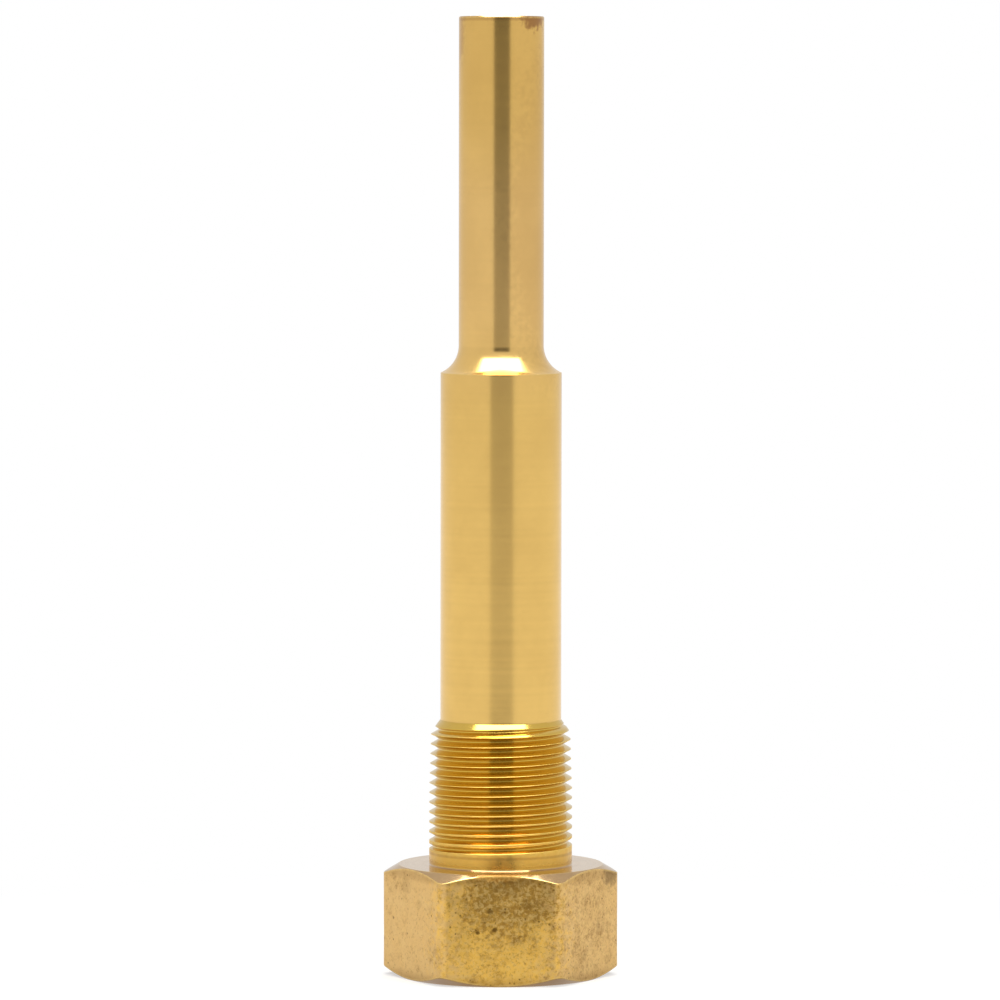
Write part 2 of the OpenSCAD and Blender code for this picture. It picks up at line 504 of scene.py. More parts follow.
def head_section(sizes, bar_r, land_top, relief_r, mouth_chamfer):
    """Half section of the land and the head, where the bar has a given radius, round to the socket."""
    land_r = sizes.land_d / 2
    face_r = sizes.hex_flats / 2 - sizes.hex_inset
    drop = (bar_r - face_r) * math.tan(sizes.hex_chamfer)
    return [
        Corner(land_r, land_top, 0, TURNED),
        Corner(land_r, sizes.hex_height, 0.22 * MM, FACED),
        Corner(face_r, sizes.hex_height, 0.1 * MM, FACED),
        Corner(bar_r, sizes.hex_height - drop, 0.12 * MM, DRAWN),
        Corner(bar_r, drop, 0.12 * MM, FACED),
        Corner(face_r, 0, 0.15 * MM, FACED),
        Corner(relief_r + mouth_chamfer, 0, 0.12 * MM, DRILLED),
        Corner(relief_r, mouth_chamfer, 0.1 * MM, DRILLED),
        Corner(relief_r, mouth_chamfer + 0.15 * MM, 0, DRILLED),
    ]


def bore_section(sizes):
    """Half section of the socket's floor and both bores, up to the point of the one in the tip."""
    point = math.tan(DRILL_HALF_ANGLE)
    floor_z, floor_chamfer = sizes.socket_depth, 1 * MM
    step_z = shoulder_height(sizes) - sizes.bore_setback
    end_z = sizes.overall - sizes.end_wall
    near_point_r = 0.3 * sizes.bulb_r
    rows = (
        (sizes.socket_r, floor_z - 0.2 * MM, 0),
        (sizes.socket_r, floor_z, 0.12 * MM),
        (sizes.bore_r + floor_chamfer, floor_z, 0.1 * MM),
        (sizes.bore_r, floor_z + floor_chamfer, 0.1 * MM),
        (sizes.bore_r, step_z, 0.1 * MM),
        (sizes.bulb_r, step_z + (sizes.bore_r - sizes.bulb_r) / point, 0.1 * MM),
        (sizes.bulb_r, end_z - sizes.bulb_r / point, 0.1 * MM),
        (near_point_r, end_z - near_point_r / point, 0),
    )
    return [Corner(*row, DRILLED) for row in rows]


def build_skin(sizes):
    """The whole thermowell as one closed skin."""
    columns = hexagon_columns(sizes)
    everywhere = len(columns)
    skin = Skin([turn for turn, bar_r in columns])

    # Tip, shoulder and shank, down to rows of the thread that the lead-in has cut to the shank
    thread_section, pitch = taper_thread_section(sizes)
    shank_z = sizes.hex_height + sizes.thread_length
    thread_head = shank_z + 2.8 * pitch
    first, head_loop = skin.outline([tip_section(sizes, thread_head)] * everywhere)
    skin.cap(first, sizes.overall, FACED, starts=True)

    # Outside thread, from the first turn whose lowest row clears the foot of the land
    land_top = sizes.hex_height + 0.45 * MM
    lowest_start = land_top + pitch / 2 + 0.1 * MM
    turned_back = pitch * sizes.thread_turn / (2 * math.pi)
    start = sizes.hex_height + sizes.land_length + pitch / 2 - turned_back
    start += pitch * math.ceil((lowest_start - start) / pitch)
    turns = math.floor((thread_head - start) / pitch - 0.6)
    rows, rows_per_pitch = skin.thread(
        thread_section, start, pitch, turns, True, THREADED, plain_above=shank_z - 0.05 * MM
    )

    # Head, with the corners of the bar running into both chamfers
    socket_section, socket_pitch, relief_r = socket_thread_section(sizes)
    mouth_chamfer = 0.35 * MM
    foot_loop, mouth_loop = skin.outline([
        head_section(sizes, bar_r, land_top, relief_r, mouth_chamfer) for turn, bar_r in columns
    ])
    skin.close_thread(rows, rows_per_pitch, foot_loop, head_loop, True, (THREADED, TURNED))

    # Socket and bores
    socket_start = mouth_chamfer + 0.25 * MM + socket_pitch / 2
    socket_turns = math.floor((sizes.socket_depth - 0.3 * MM - socket_start) / socket_pitch)
    rows, rows_per_pitch = skin.thread(
        socket_section, socket_start, socket_pitch, socket_turns, False, DRILLED
    )
    floor_loop, last = skin.outline([bore_section(sizes)] * everywhere)
    skin.close_thread(rows, rows_per_pitch, mouth_loop, floor_loop, False, (DRILLED, DRILLED))
    skin.cap(last, sizes.overall - sizes.end_wall, DRILLED, starts=False)
    return skin


# ---------------------------------------------------------------- shading


def add(tree, kind, inputs=None, **settings):
    """Adds one node; inputs maps a socket's name or number to a value or to an output to link."""
    made = tree.nodes.new("ShaderNode" + kind)
    for name, value in settings.items():
        setattr(made, name, value)
    for name, value in (inputs or {}).items():
        if isinstance(value, bpy.types.NodeSocket):
            tree.links.new(value, made.inputs[name])
        else:
            made.inputs[name].default_value = value
    return made


def calc(tree, operation, *values, clamp=False):
    """Adds one Math node and gives its output."""
    inputs = dict(enumerate(values))
    return add(tree, "Math", inputs, operation=operation, use_clamp=clamp).outputs[0]


def times(tree, first, second, clamp=False):
    """Multiplies two values."""
    return calc(tree, "MULTIPLY", first, second, clamp=clamp)


def plus(tree, first, second, clamp=False):
    """Adds two values."""
    return calc(tree, "ADD", first, second, clamp=clamp)


def minus(tree, first, second):
    """Takes the second value from the first."""
    return calc(tree, "SUBTRACT", first, second)


def remap(tree, value, low, high, to_low=0.0, to_high=1.0):
    """A smooth step of a value from one range to another."""
    inputs = {"Value": value, "From Min": low, "From Max": high, "To Min": to_low, "To Max": to_high}
    return add(tree, "MapRange", inputs, interpolation_type="SMOOTHSTEP").outputs[0]


def blend(tree, factor, first, second):
    """Mixes two colours."""
    made = add(tree, "Mix", {"Factor": factor}, data_type="RGBA")
    for socket, value in ((made.inputs[6], first), (made.inputs[7], second)):
        if isinstance(value, bpy.types.NodeSocket):
            tree.links.new(value, socket)
        else:
            socket.default_value = (*value, 1)
    return made.outputs[2]


def object_place(tree):
    """Place on the object, in metres."""
    return add(tree, "TexCoord").outputs["Object"]


def object_axes(tree):
    """X, Y and Z of the place on the object."""
    return add(tree, "SeparateXYZ", {0: object_place(tree)}).outputs


def vector_length(tree, vector):
    """Length of a vector, or distance of a place from the object's origin."""
    return add(tree, "VectorMath", {0: vector}, operation="LENGTH").outputs["Value"]


def new_group(name, inputs, outputs):
    """Starts a shader node group with named float sockets."""
    tree = bpy.data.node_groups.new(name, "ShaderNodeTree")
    for socket, value in inputs.items():
        made = tree.interface.new_socket(socket, in_out="INPUT", socket_type="NodeSocketFloat")
        made.default_value = value
    for socket in outputs:
        tree.interface.new_socket(socket, in_out="OUTPUT", socket_type="NodeSocketFloat")
    given = tree.nodes.new("NodeGroupInput").outputs
    result = tree.nodes.new("NodeGroupOutput").inputs
    return tree, given, result


def use(tree, group, **values):
    """Places a node group, its inputs given by name with spaces as underscores."""
    made = tree.nodes.new("ShaderNodeGroup")
    made.node_tree = bpy.data.node_groups[group]
    for name, value in values.items():
        socket = made.inputs[name.replace("_", " ")]
        if isinstance(value, bpy.types.NodeSocket):
            tree.links.new(value, socket)
        else:
            socket.default_value = value
    return made.outputs


def make_turning_marks():
    """Fine rings left by the tool, which follow the lathe's feed."""
    tree, given, result = new_group("Turning marks", {"Feed": 0.1 * MM, "Waver": 0.002}, ("Height", "Tone"))
    x, y, height = object_axes(tree)
    radius = calc(tree, "SQRT", plus(tree, calc(tree, "POWER", x, 2.0), calc(tree, "POWER", y, 2.0)))
    along = add(tree, "CombineXYZ", {
        0: times(tree, x, given["Waver"]),
        1: times(tree, y, given["Waver"]),
        2: plus(tree, radius, height),
    }).outputs[0]
    per_metre = calc(tree, "DIVIDE", 0.5, given["Feed"])
    fine = add(tree, "TexNoise", {"Vector": along, "Scale": per_metre, "Detail": 2.0, "Roughness": 0.6})
    broad = add(tree, "TexNoise", {"Vector": along, "Scale": 900.0, "Detail": 3.0, "Roughness": 0.55})
    tree.links.new(fine.outputs[0], result["Height"])
    tree.links.new(remap(tree, broad.outputs[0], 0.3, 0.7), result["Tone"])


def make_patches():
    """Cloudy patches with broken edges, for tarnish and stains, and thin lines along their borders."""
    tree, given, result = new_group(
        "Patches", {"Size": 4 * MM, "Share": 0.5, "Softness": 0.15, "Seed": 0.0}, ("Mask", "Border")
    )
    place = object_place(tree)
    scale = calc(tree, "DIVIDE", 1.0, given["Size"])
    cloud = add(tree, "TexNoise", {
        "Vector": place, "W": given["Seed"], "Scale": scale,
        "Detail": 6.0, "Roughness": 0.62, "Distortion": 0.4,
    }, noise_dimensions="4D").outputs[0]
    level = minus(tree, 0.75, times(tree, given["Share"], 0.5))
    low = minus(tree, level, given["Softness"])
    high = plus(tree, level, given["Softness"])
    tree.links.new(remap(tree, cloud, low, high), result["Mask"])
    border = calc(tree, "ABSOLUTE", minus(tree, cloud, level))
    tree.links.new(remap(tree, border, 0.0, 0.02, 1.0, 0.0), result["Border"])


def make_pits():
    """Small round pits scattered over a raw surface."""
    tree, given, result = new_group("Pits", {"Spacing": 1 * MM, "Share": 0.3, "Size": 0.3}, ("Mask",))
    place = object_place(tree)
    scale = calc(tree, "DIVIDE", 1.0, given["Spacing"])
    wobble = add(tree, "TexNoise", {"Vector": place, "Scale": 2500.0, "Detail": 2.0}).outputs[1]
    nudge = add(tree, "VectorMath", {0: wobble, 1: (0.0004, 0.0004, 0.0004)}, operation="MULTIPLY").outputs[0]
    moved = add(tree, "VectorMath", {0: place, 1: nudge}, operation="ADD").outputs[0]
    cells = add(tree, "TexVoronoi", {"Vector": moved, "Scale": scale, "Randomness": 1.0})
    chance = add(tree, "SeparateColor", {0: cells.outputs["Color"]}).outputs
    chosen = calc(tree, "LESS_THAN", chance[0], given["Share"])
    size = times(tree, given["Size"], plus(tree, 0.35, times(tree, chance[1], 0.65)))
    inner = times(tree, size, 0.35)
    pit = remap(tree, cells.outputs["Distance"], inner, size, 1.0, 0.0)
    tree.links.new(times(tree, pit, chosen), result["Mask"])


def make_edge_wear():
    """Rubbed edges: the skin's own edge mask, broken up by noise."""
    tree, given, result = new_group("Edge wear", {"Amount": 0.6, "Grain": 0.5 * MM}, ("Mask",))
    edge = add(tree, "Attribute", attribute_name="edge_wear").outputs["Fac"]
    place = object_place(tree)
    scale = calc(tree, "DIVIDE", 1.0, given["Grain"])
    grain = add(tree, "TexNoise", {"Vector": place, "Scale": scale, "Detail": 3.0}).outputs[0]
    worn = times(tree, edge, remap(tree, grain, 0.3, 0.6, 0.35, 1.0))
    tree.links.new(times(tree, worn, given["Amount"], clamp=True), result["Mask"])


def make_spot():
    """A soft round spot at a place on the metal, its edge broken up by noise."""
    tree, given, result = new_group(
        "Spot", {"X": 0.0, "Y": 0.0, "Z": 0.0, "Radius": 2 * MM, "Stretch": 1.0}, ("Mask",)
    )
    place = object_place(tree)
    centre = add(tree, "CombineXYZ", {axis: given[axis] for axis in "XYZ"}).outputs[0]
    away = add(tree, "VectorMath", {0: place, 1: centre}, operation="SUBTRACT").outputs[0]
    parts = add(tree, "SeparateXYZ", {0: away}).outputs
    flat = add(tree, "CombineXYZ", {
        0: parts[0], 1: parts[1], 2: calc(tree, "DIVIDE", parts[2], given["Stretch"]),
    }).outputs[0]
    distance = vector_length(tree, flat)
    cloud = add(tree, "TexNoise", {"Vector": place, "Scale": 900.0, "Detail": 4.0}).outputs[0]
    ragged = times(tree, distance, remap(tree, cloud, 0.3, 0.7, 0.75, 1.3))
    inner = times(tree, given["Radius"], 0.45)
    tree.links.new(remap(tree, ragged, inner, given["Radius"], 1.0, 0.0), result["Mask"])


def spot(tree, x, y, z, radius, stretch):
    """Mask of one spot, its place and radius in metres."""
    return use(tree, "Spot", X=x, Y=y, Z=z, Radius=radius, Stretch=stretch)["Mask"]


def patches(tree, size, seed, share=0.5, softness=0.2):
    """Mask of cloudy patches, their size in millimetres."""
    return use(tree, "Patches", Size=size * MM, Share=share, Softness=softness, Seed=seed)["Mask"]


def rings(tree, feed, waver=0.002):
    """Height and Tone of the turning marks, their feed in millimetres."""
    return use(tree, "Turning marks", Feed=feed * MM, Waver=waver)


def edge_wear(tree, amount, grain=0.5):
    """Mask of the rubbed edges, its grain in millimetres."""
    return use(tree, "Edge wear", Amount=amount, Grain=grain * MM)["Mask"]


def rubbed(tree, surface, finish, share=1.0, grain=0.5):
    """A colour with its edges rubbed bright, by a share of the wear."""
    return blend(tree, edge_wear(tree, share * finish.wear, grain), surface, finish.bright)


def emptied_tree(holder):
    """The node tree of a new material or world, with nothing in it."""
    holder.use_nodes = True
    holder.node_tree.nodes.clear()
    return holder.node_tree


def put_out(tree, shader, kind="OutputMaterial"):
    """Leads a shader to the surface of its material or world."""
    add(tree, kind, {"Surface": shader.outputs[0]})


def brass_material(name, base, roughness, bump, distance):
    """A brass whose colour, roughness and bump height come from functions of its node tree."""
    tree = emptied_tree(bpy.data.materials.new(name))
    bumped = add(tree, "Bump", {"Height": bump(tree), "Strength": 1.0, "Distance": distance})
    put_out(tree, add(tree, "BsdfPrincipled", {
        "Base Color": base(tree), "Metallic": 1.0, "Roughness": roughness(tree), "IOR": 1.5,
        "Normal": bumped.outputs[0],
    }))


def turned_brass(finish, sizes):
    """Tip, shank and land: fine turned and bright, with stains near the closed end."""
    end = sizes.overall

    def base(tree):
        tone = rings(tree, 0.25)["Tone"]
        height = object_axes(tree)[2]
        on_tip = remap(tree, height, end - 75 * MM, end - 52 * MM)
        to_end = remap(tree, height, end - 36 * MM, end - 8 * MM)
        plain = blend(tree, minus(tree, on_tip, to_end), finish.brass, finish.pale_brass)
        tipped = blend(tree, to_end, plain, finish.handled)
        darker = blend(tree, 0.2, tipped, (0, 0, 0))
        toned = blend(tree, times(tree, tone, 0.12), tipped, darker)
        clouds = patches(tree, 9, seed=3.0)
        dulled = blend(tree, times(tree, clouds, 0.1), toned, finish.tarnish)
        on_land = remap(tree, height, sizes.hex_height + 4 * MM, sizes.hex_height + 6 * MM, 1.0, 0.0)
        landed = blend(tree, on_land, dulled, finish.land_brass)
        at_end = remap(tree, height, end - 1.1 * MM, end - 0.5 * MM, 0.0, 0.4)
        stained = blend(tree, at_end, landed, finish.stain)
        for stain in STAINS:
            x, y = stain.x * sizes.tip_d / 2, stain.y * sizes.tip_d / 2
            mask = spot(tree, x, y, end - stain.below * MM, stain.radius * MM, stain.stretch)
            stained = blend(tree, times(tree, mask, stain.depth), stained, finish.stain)
        return rubbed(tree, stained, finish)

    def roughness(tree):
        marks = rings(tree, 0.12)["Tone"]
        clouds = patches(tree, 7, seed=8.0)
        spread = times(tree, plus(tree, marks, clouds), 0.03)
        return plus(tree, spread, 0.17)

    def bump(tree):
        return rings(tree, 0.1)["Height"]

    brass_material("Turned brass", base, roughness, bump, 0.001 * MM)


def threaded_brass(finish, sizes):
    """Cut thread: bright crests over deeper coloured flanks, running out on the land in a faint line."""
    def base(tree):
        clouds = patches(tree, 3, seed=5.0)
        height = object_axes(tree)[2]
        above = minus(tree, height, sizes.hex_height)
        on_land = remap(tree, above, 2.2 * MM, 3.4 * MM, 1.0, 0.0)
        plain = blend(tree, on_land, finish.thread_brass, finish.land_brass)
        from_line = calc(tree, "ABSOLUTE", minus(tree, above, 2.25 * MM))
        line = remap(tree, from_line, 0.1 * MM, 0.4 * MM, 0.45, 0.0)
        dulled = calc(tree, "MAXIMUM", times(tree, clouds, 0.08), line)
        flanks = blend(tree, dulled, plain, finish.tarnish)
        return rubbed(tree, flanks, finish, share=0.4, grain=0.8)

    def roughness(tree):
        marks = rings(tree, 0.08)["Tone"]
        crest = edge_wear(tree, 1.0, 1.5)
        height = object_axes(tree)[2]
        runout = remap(tree, height, sizes.hex_height + 3 * MM, sizes.hex_height + 9 * MM, 0.2, 0.13)
        smooth = plus(tree, times(tree, marks, 0.04), runout)
        return plus(tree, smooth, times(tree, crest, 0.4))

    def bump(tree):
        return rings(tree, 0.07, 0.01)["Height"]

    brass_material("Thread brass", base, roughness, bump, 0.0008 * MM)


def dirty_top_edge(tree, sizes):
    """Dirt along the middle of the upper edge of the -Y face."""
    return spot(tree, 0.0, -0.5 * sizes.hex_flats, sizes.hex_height, 5.5 * MM, 0.3)


def drawn_brass(finish, sizes):
    """Raw faces of the drawn bar: patchy, pitted and dull, rubbed bright at the corners, with painted shade
    low down, a painted reflection on the -Y face and painted glints.
    """
    flat_r, top = 0.5 * sizes.hex_flats, sizes.hex_height
    dark = [0.4 * c for c in finish.tarnish]

    def dirt(tree):
        """How heavily each place is marked: most on the -Y face, towards its top, and least at -X."""
        heavy = spot(tree, 1.5 * MM, -flat_r, 0.78 * top, 11 * MM, 0.8)
        across = remap(tree, object_axes(tree)[0], -11 * MM, -6 * MM, 0.36, 0.54)
        return plus(tree, across, times(tree, heavy, 0.5), clamp=True)

    def pitting(tree, share):
        """Mask of the pits, as many as a share says."""
        return use(tree, "Pits", Spacing=0.9 * MM, Share=share, Size=0.3)["Mask"]

    def mottled(tree, marked):
        """The bare bar, with a deeper colour in front as a painted reflection, clusters of tarnish, veins and
        painted glints.
        """
        # Painted reflection: the -Y face, which reflects the dark gap before the camera, is blended towards a
        # deeper colour
        front = spot(tree, 0.0, -flat_r - 4 * MM, 0.5 * top, 16 * MM, 1.5)
        surface = blend(tree, times(tree, front, 0.8), finish.raw_brass, finish.painted_front_brass)
        share = times(tree, marked, finish.patches * 1.6)
        clusters = patches(tree, 5, seed=1.0, share=share, softness=0.12)
        surface = blend(tree, times(tree, clusters, 0.2), surface, finish.tarnish)
        near_marks = plus(tree, times(tree, marked, 0.34), times(tree, clusters, 0.1))
        speck_share = plus(tree, near_marks, 0.15)
        for size, depth, seed in ((2.2, 0.24, 4.0), (0.9, 0.36, 14.0), (0.5, 0.45, 24.0)):
            specks = patches(tree, size, seed=seed, share=speck_share, softness=0.06)
            surface = blend(tree, times(tree, specks, depth), surface, finish.tarnish)
        veins = use(tree, "Patches", Size=4 * MM, Share=0.5, Softness=0.1, Seed=12.0)["Border"]
        # Painted highlights: small glints blended in as patches of the bright edge colour
        glints = patches(tree, 0.8, seed=21.0, share=0.42, softness=0.06)
        veins_and_painted_glints = calc(tree, "MAXIMUM", times(tree, veins, 0.5), times(tree, glints, 0.6))
        return blend(tree, times(tree, veins_and_painted_glints, marked), surface, finish.bright)

    def base(tree):
        marked = dirt(tree)
        surface = mottled(tree, marked)
        height = object_axes(tree)[2]
        # Painted shade towards the bottom edge, standing in for the floor's shadow close to the part that
        # these faces reflect; the faces also darken towards their top edge
        low = remap(tree, height, 0.0, 2.4 * MM, 0.46, 0.0)
        high = remap(tree, height, top - 2.5 * MM, top - 1.2 * MM, 0.0, 0.32)
        surface = blend(tree, calc(tree, "MAXIMUM", low, high), surface, finish.tarnish)
        pits = pitting(tree, times(tree, marked, 0.35))
        surface = blend(tree, times(tree, pits, 0.7), surface, dark)
        for mark in MARKS:
            facing = HALF_SIDE * (2 * mark.side - 3)
            outwards = Vector((math.cos(facing), math.sin(facing)))
            x, y = flat_r * outwards + mark.across * MM * outwards.orthogonal()
            mask = spot(tree, x, y, mark.height * MM, mark.radius * MM, 0.8)
            surface = blend(tree, times(tree, mask, mark.depth), surface, dark)
        return rubbed(tree, surface, finish, grain=1.2)

    def roughness(tree):
        clouds = patches(tree, 3, seed=2.0)
        worn = edge_wear(tree, finish.wear)
        dirty = times(tree, dirty_top_edge(tree, sizes), 0.4)
        dull = plus(tree, plus(tree, times(tree, clouds, 0.12), 0.36), dirty)
        return minus(tree, dull, times(tree, worn, 0.12))

    def bump(tree):
        grain = patches(tree, 0.7, seed=6.0, softness=0.3)
        dents = patches(tree, 2.5, seed=13.0, softness=0.4)
        pits = pitting(tree, times(tree, dirt(tree), 0.5))
        surface = plus(tree, times(tree, grain, 0.3), times(tree, dents, 0.8))
        return minus(tree, surface, times(tree, pits, 0.3))

    brass_material("Drawn bar brass", base, roughness, bump, 0.025 * MM)


def faced_brass(finish, sizes):
    """Turned end faces and chamfers, with rings that widen outwards, and painted shade on the chamfers,
    darkest at the bottom.
    """
    def dirt(tree):
        """Painted shade on the chamfers, found by their facing and heaviest on the lower one, with dirt over
        the middle of the -Y face.
        """
        place = add(tree, "TexCoord").outputs
        height = add(tree, "SeparateXYZ", {0: place["Object"]}).outputs[2]
        facing = add(tree, "SeparateXYZ", {0: place["Normal"]}).outputs[2]
        # Painted shade: every chamfer, found by its facing, is darkened
        chamfers = remap(tree, calc(tree, "ABSOLUTE", facing), 0.88, 0.98, 0.3, 0.0)
        # Painted shade: the lower chamfer is darkened most, standing in for the floor's shadow close to the
        # part that it reflects
        low = remap(tree, height, 1.6 * MM, 2.4 * MM, 0.85, 0.0)
        middle = times(tree, dirty_top_edge(tree, sizes), 0.9)
        return calc(tree, "MAXIMUM", calc(tree, "MAXIMUM", low, chamfers), middle)

    def base(tree):
        tone = rings(tree, 0.3)["Tone"]
        clouds = patches(tree, 4, seed=9.0, softness=0.15)
        marked = times(tree, plus(tree, tone, times(tree, clouds, 2.0)), 0.07)
        # Tarnish in rings and patches, with the painted shade and the dirt of the chamfers
        dirty = plus(tree, marked, dirt(tree), clamp=True)
        toned = blend(tree, dirty, finish.faced_brass, finish.tarnish)
        return rubbed(tree, toned, finish, share=0.5)

    def roughness(tree):
        tone = rings(tree, 0.2)["Tone"]
        smooth = plus(tree, times(tree, tone, 0.04), 0.12)
        return plus(tree, smooth, times(tree, dirty_top_edge(tree, sizes), 0.4))

    def bump(tree):
        return rings(tree, 0.18, 0.02)["Height"]

    brass_material("Faced brass", base, roughness, bump, 0.003 * MM)


def drilled_brass(finish):
    """Socket and bores: coarser rings and a duller colour."""
    def base(tree):
        tone = rings(tree, 0.4)["Tone"]
        toned = blend(tree, times(tree, tone, 0.3), finish.brass, [0.6 * c for c in finish.brass])
        clouds = patches(tree, 6, seed=7.0)
        return blend(tree, times(tree, clouds, 0.25), toned, finish.tarnish)

    def roughness(tree):
        tone = rings(tree, 0.25)["Tone"]
        return plus(tree, times(tree, tone, 0.12), 0.30)

    def bump(tree):
        return rings(tree, 0.25, 0.04)["Height"]

    brass_material("Drilled brass", base, roughness, bump, 0.012 * MM)


# ---------------------------------------------------------------- the stage


def glowing_material(name, level):
    """A plain glowing surface; its level is a number, or a function that builds it in the node tree."""
    material = bpy.data.materials.new(name)
    tree = emptied_tree(material)
    strength = level(tree) if callable(level) else level
    put_out(tree, add(tree, "Emission", {"Color": WHITE, "Strength": strength}))
    return material


def floor_material():
    """White floor with a soft shadow near the part, white in reflections but for a painted shadow close to
    the part, and clear from below.
    """
    material = bpy.data.materials.new("White floor")
    tree = emptied_tree(material)
    lit = add(tree, "BsdfDiffuse", {"Color": (0.88, 0.88, 0.88, 1)})
    ray = add(tree, "LightPath").outputs
    away = vector_length(tree, object_place(tree))
    # Painted shadow: in reflections the floor glows a little darker close to the part
    painted_reflected_shadow = remap(tree, away, 0.018, 0.05, 0.8, 1.0)
    level = calc(tree, "MAXIMUM", ray["Is Camera Ray"], painted_reflected_shadow)
    plain = add(tree, "Emission", {"Color": WHITE, "Strength": level})
    far = remap(tree, away, 0.03, 0.16, 0.55, 1.0)
    seen = times(tree, ray["Is Camera Ray"], far)
    mirrored = plus(tree, ray["Is Glossy Ray"], ray["Is Transmission Ray"], clamp=True)
    share_plain = calc(tree, "MAXIMUM", seen, mirrored)
    mixed = add(tree, "MixShader", {0: share_plain, 1: lit.outputs[0], 2: plain.outputs[0]})
    below = add(tree, "NewGeometry").outputs["Backfacing"]
    clear = add(tree, "BsdfTransparent")
    put_out(tree, add(tree, "MixShader", {0: below, 1: mixed.outputs[0], 2: clear.outputs[0]}))
    return material


def studio_world(stage):
    """White to the camera, the wall level in reflections, and a plain level for matt surfaces."""
    world = bpy.data.worlds.new("Studio")
    bpy.context.scene.world = world
    tree = emptied_tree(world)
    ray = add(tree, "LightPath").outputs
    white = plus(tree, ray["Is Camera Ray"], ray["Is Transmission Ray"], clamp=True)
    walls = times(tree, ray["Is Glossy Ray"], stage.wall_level)
    matt = times(tree, ray["Is Diffuse Ray"], 0.55)
    level = plus(tree, plus(tree, white, walls), matt)
    put_out(tree, add(tree, "Background", {"Color": WHITE, "Strength": level}), "OutputWorld")


def sheet(name, points, faces, material):
    """A flat or curved sheet of the stage."""
    mesh = bpy.data.meshes.new(name)
    mesh.from_pydata(points, [], faces)
    mesh.materials.append(material)
    piece = put_in_scene(name, mesh)
    return piece


def only_in_reflections(piece):
    """Leaves a sheet visible to glossy rays alone."""
    for ray in ("camera", "diffuse", "transmission", "volume_scatter", "shadow"):
        setattr(piece, "visible_" + ray, False)


def camera_directions(stage):
    """Level directions from the axis: towards the camera, and across to the right as it sees."""
    front = Vector((-math.sin(stage.turn), -math.cos(stage.turn), 0))
    return front, Vector((-front.y, front.x, 0))


def add_floor():
    """A round floor, a hair below the open face that stands on it."""
    reach, sides, drop = 2.2, 64, 0.02 * MM
    turns = [2 * math.pi * k / sides for k in range(sides)]
    points = [(reach * math.cos(turn), reach * math.sin(turn), -drop) for turn in turns]
    sheet("floor", points, [tuple(range(sides))], floor_material())


def gap_material(stage):
    """Dark opening: darkest near its top and on the floor close to the part."""
    def level(tree):
        away = vector_length(tree, object_place(tree))
        height = object_axes(tree)[2]
        rising = remap(tree, height, -0.08, 0.2, 1.19, 0.235)
        top = remap(tree, height, 0.25, 0.42, 0.0, 0.15)
        floor = remap(tree, away, 0.45, 1.3, 0.92, 0.7)
        dark = remap(tree, away, 0.05, 0.11, stage.wall_level, stage.gap_level)
        lit = remap(tree, away, 0.28, 0.42)
        near = plus(tree, dark, times(tree, lit, minus(tree, floor, stage.gap_level)))
        return times(tree, near, minus(tree, rising, top))

    return glowing_material("Dark gap", level)


def add_camera_gap(stage):
    """The dark gap between the studio walls that the camera looks through, and the floor before it."""
    reach, top, near, above_floor, steps = 1.3, 0.5, 40 * MM, 0.5 * MM, 12
    low, high = math.radians(-20), math.radians(23)
    front, side = camera_directions(stage)
    points = []
    for k in range(steps + 1):
        turn = low + (high - low) * k / steps
        outwards = front * math.cos(turn) + side * math.sin(turn)
        points += [(*(near * outwards).xy, above_floor), (*(reach * outwards).xy, above_floor)]
        points.append((*(reach * outwards).xy, top))
    faces = []
    for k in range(0, 3 * steps, 3):
        faces += [(k, k + 3, k + 4, k + 1), (k + 1, k + 4, k + 5, k + 2)]
    only_in_reflections(sheet("camera_gap", points, faces, gap_material(stage)))


def add_top_light(stage):
    """A bright soft box overhead, laid out as the part's shoulder sees it, wider towards the camera."""
    height, shoulder = 1.0, 0.113
    front, side = camera_directions(stage)
    rise = height - shoulder
    # Each row's distance ahead of the axis and half width, both as shares of the rise
    rows = (
        (1.11, 0.05), (1.03, 0.45), (0.9, 0.75), (0.71, 1.0), (0.36, 0.75), (0.007, 0.515),
        (-0.305, 0.352), (-0.65, 0.235), (-1.0, 0.19), (-1.6, 0.19),
    )
    points = []
    for ahead, half in rows:
        for sign in (-1, 1):
            place = rise * (front * ahead + side * half * sign)
            points.append((place.x, place.y, height))
    faces = [(k, k + 1, k + 3, k + 2) for k in range(0, 2 * len(rows) - 2, 2)]
    only_in_reflections(sheet("top_light", points, faces, glowing_material("Soft box", stage.top_level)))


def add_lamps(stage):
    """Three large soft lamps, which light the floor and anything matt."""
    lamp_size, lamp_distance = 0.9, 1.1
    target = Vector((0, 0, CAD_BOX[1].z / 2))
    for name, turn, lift in (("key_lamp", -35, 50), ("fill_lamp", 40, 40), ("back_lamp", 170, 55)):
        lamp = bpy.data.lights.new(name, "AREA")
        lamp.shape = "DISK"
        lamp.size = lamp_size
        lamp.energy = stage.lamp_power
        piece = put_in_scene(name, lamp)
        around, up = math.radians(turn), math.radians(lift)
        away = Vector((math.sin(around) * math.cos(up), -math.cos(around) * math.cos(up), math.sin(up)))
        piece.location = target + lamp_distance * away
        piece.rotation_mode = "QUATERNION"
        piece.rotation_quaternion = (-away).to_track_quat("-Z", "Y")
        piece.visible_glossy = False


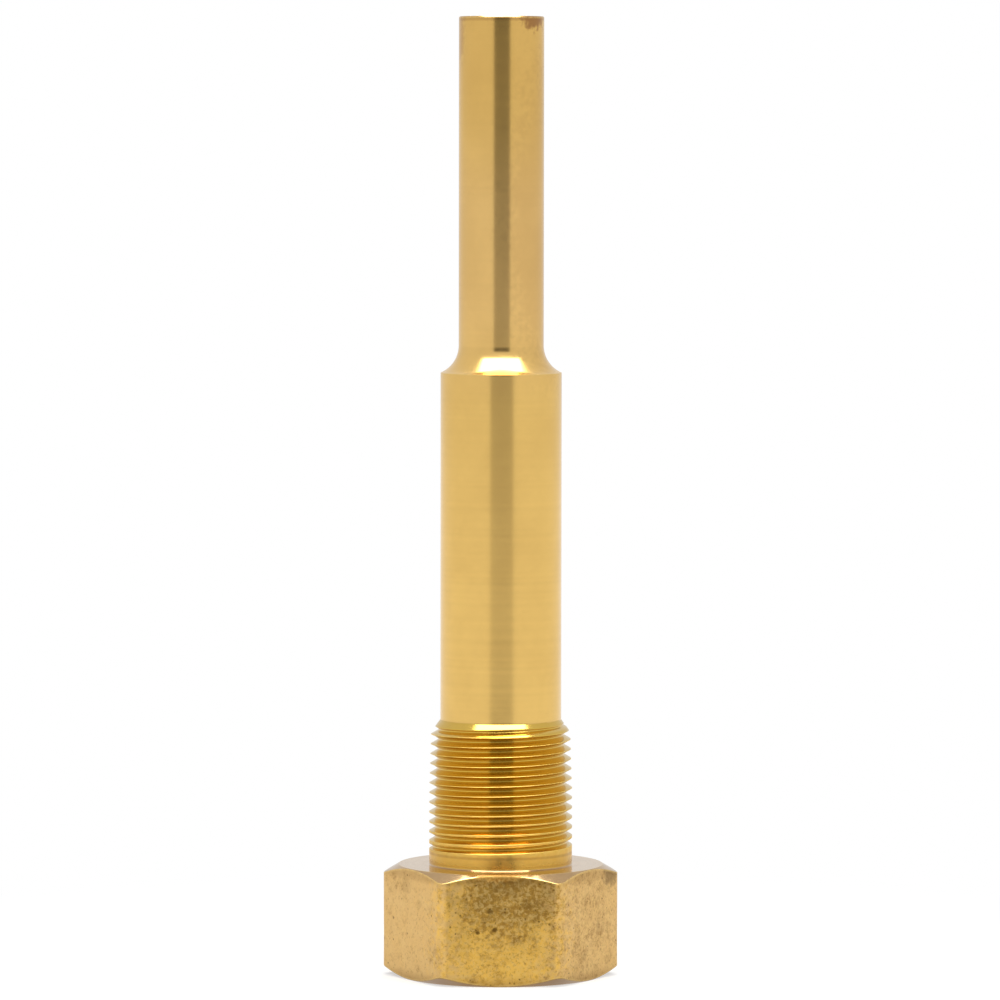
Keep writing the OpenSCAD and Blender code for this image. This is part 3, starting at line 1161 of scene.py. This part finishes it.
def add_camera(stage):
    """The camera, a little aside and slightly rolled."""
    lens = bpy.data.cameras.new("camera")
    lens.sensor_width = 36
    lens.lens = stage.lens
    lens.clip_start = 0.05
    lens.clip_end = 50
    camera = put_in_scene("camera", lens)
    front = camera_directions(stage)[0]
    camera.location = stage.distance * front + Vector((0, 0, stage.camera_height))
    towards = Vector((0, 0, stage.aim_height)) - camera.location
    level = towards.to_track_quat("-Z", "Y").to_matrix()
    camera.location -= stage.aside * level.col[0]
    camera.rotation_mode = "QUATERNION"
    camera.rotation_quaternion = (level @ Matrix.Rotation(stage.roll, 3, "Z")).to_quaternion()
    bpy.context.scene.camera = camera


# ---------------------------------------------------------------- operators and panel


class THERMOWELL_OT_finishes(bpy.types.Operator):
    """Makes the shared effects and the brass finishes."""

    bl_idname = "thermowell.finishes"
    bl_label = "Make brass finishes"

    def execute(self, context):
        for make in (make_turning_marks, make_patches, make_pits, make_edge_wear, make_spot):
            make()
        finish, sizes = context.scene.thermowell_finish, context.scene.thermowell_sizes
        for make in (turned_brass, threaded_brass, drawn_brass, faced_brass):
            make(finish, sizes)
        drilled_brass(finish)
        return {"FINISHED"}


class THERMOWELL_OT_body(bpy.types.Operator):
    """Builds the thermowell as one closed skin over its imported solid."""

    bl_idname = "thermowell.body"
    bl_label = "Build thermowell"

    def execute(self, context):
        skin = build_skin(context.scene.thermowell_sizes)
        body = put_in_scene("thermowell_body", skin.mesh("thermowell_body"))
        for name in FINISH_NAMES:
            body.data.materials.append(bpy.data.materials[name])
        flatten = body.modifiers.new("Flat faces keep flat shading", "WEIGHTED_NORMAL")
        flatten.mode = "FACE_AREA"
        flatten.weight = 80
        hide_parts(NODE)
        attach(body, "root")
        return {"FINISHED"}


class THERMOWELL_OT_stage(bpy.types.Operator):
    """Sets the floor, the studio walls, the lamps and the camera."""

    bl_idname = "thermowell.stage"
    bl_label = "Set the stage"

    def execute(self, context):
        stage = context.scene.thermowell_stage
        context.scene.view_settings.view_transform = "Standard"
        studio_world(stage)
        add_floor()
        add_camera_gap(stage)
        add_top_light(stage)
        add_lamps(stage)
        add_camera(stage)
        return {"FINISHED"}


class THERMOWELL_PT_panel(bpy.types.Panel):
    """Sizes, finishes and operators of the thermowell."""

    bl_label = "Thermowell"
    bl_idname = "THERMOWELL_PT_panel"
    bl_space_type = "VIEW_3D"
    bl_region_type = "UI"
    bl_category = "Thermowell"

    def draw(self, context):
        for operator in (THERMOWELL_OT_finishes, THERMOWELL_OT_body, THERMOWELL_OT_stage):
            self.layout.operator(operator.bl_idname)
        for name in ("thermowell_sizes", "thermowell_finish", "thermowell_stage"):
            group = getattr(context.scene, name)
            box = self.layout.box()
            for key in group.bl_rna.properties.keys():
                if key not in ("rna_type", "name"):
                    box.prop(group, key)


SETTINGS = {
    "thermowell_sizes": ThermowellSizes,
    "thermowell_finish": ThermowellFinish,
    "thermowell_stage": ThermowellStage,
}
OPERATORS = (THERMOWELL_OT_finishes, THERMOWELL_OT_body, THERMOWELL_OT_stage)
CLASSES = (*SETTINGS.values(), *OPERATORS, THERMOWELL_PT_panel)


def register():
    """Registers the classes and hangs their settings on the scene."""
    for entry in CLASSES:
        bpy.utils.register_class(entry)
    for name, group in SETTINGS.items():
        setattr(bpy.types.Scene, name, bpy.props.PointerProperty(type=group))


def unregister():
    """Takes the settings and the classes away again."""
    for name in SETTINGS:
        delattr(bpy.types.Scene, name)
    for entry in reversed(CLASSES):
        bpy.utils.unregister_class(entry)


def main():
    """Builds everything."""
    register()
    bpy.ops.thermowell.finishes()
    bpy.ops.thermowell.body()
    bpy.ops.thermowell.stage()


if __name__ == "__main__":
    main()
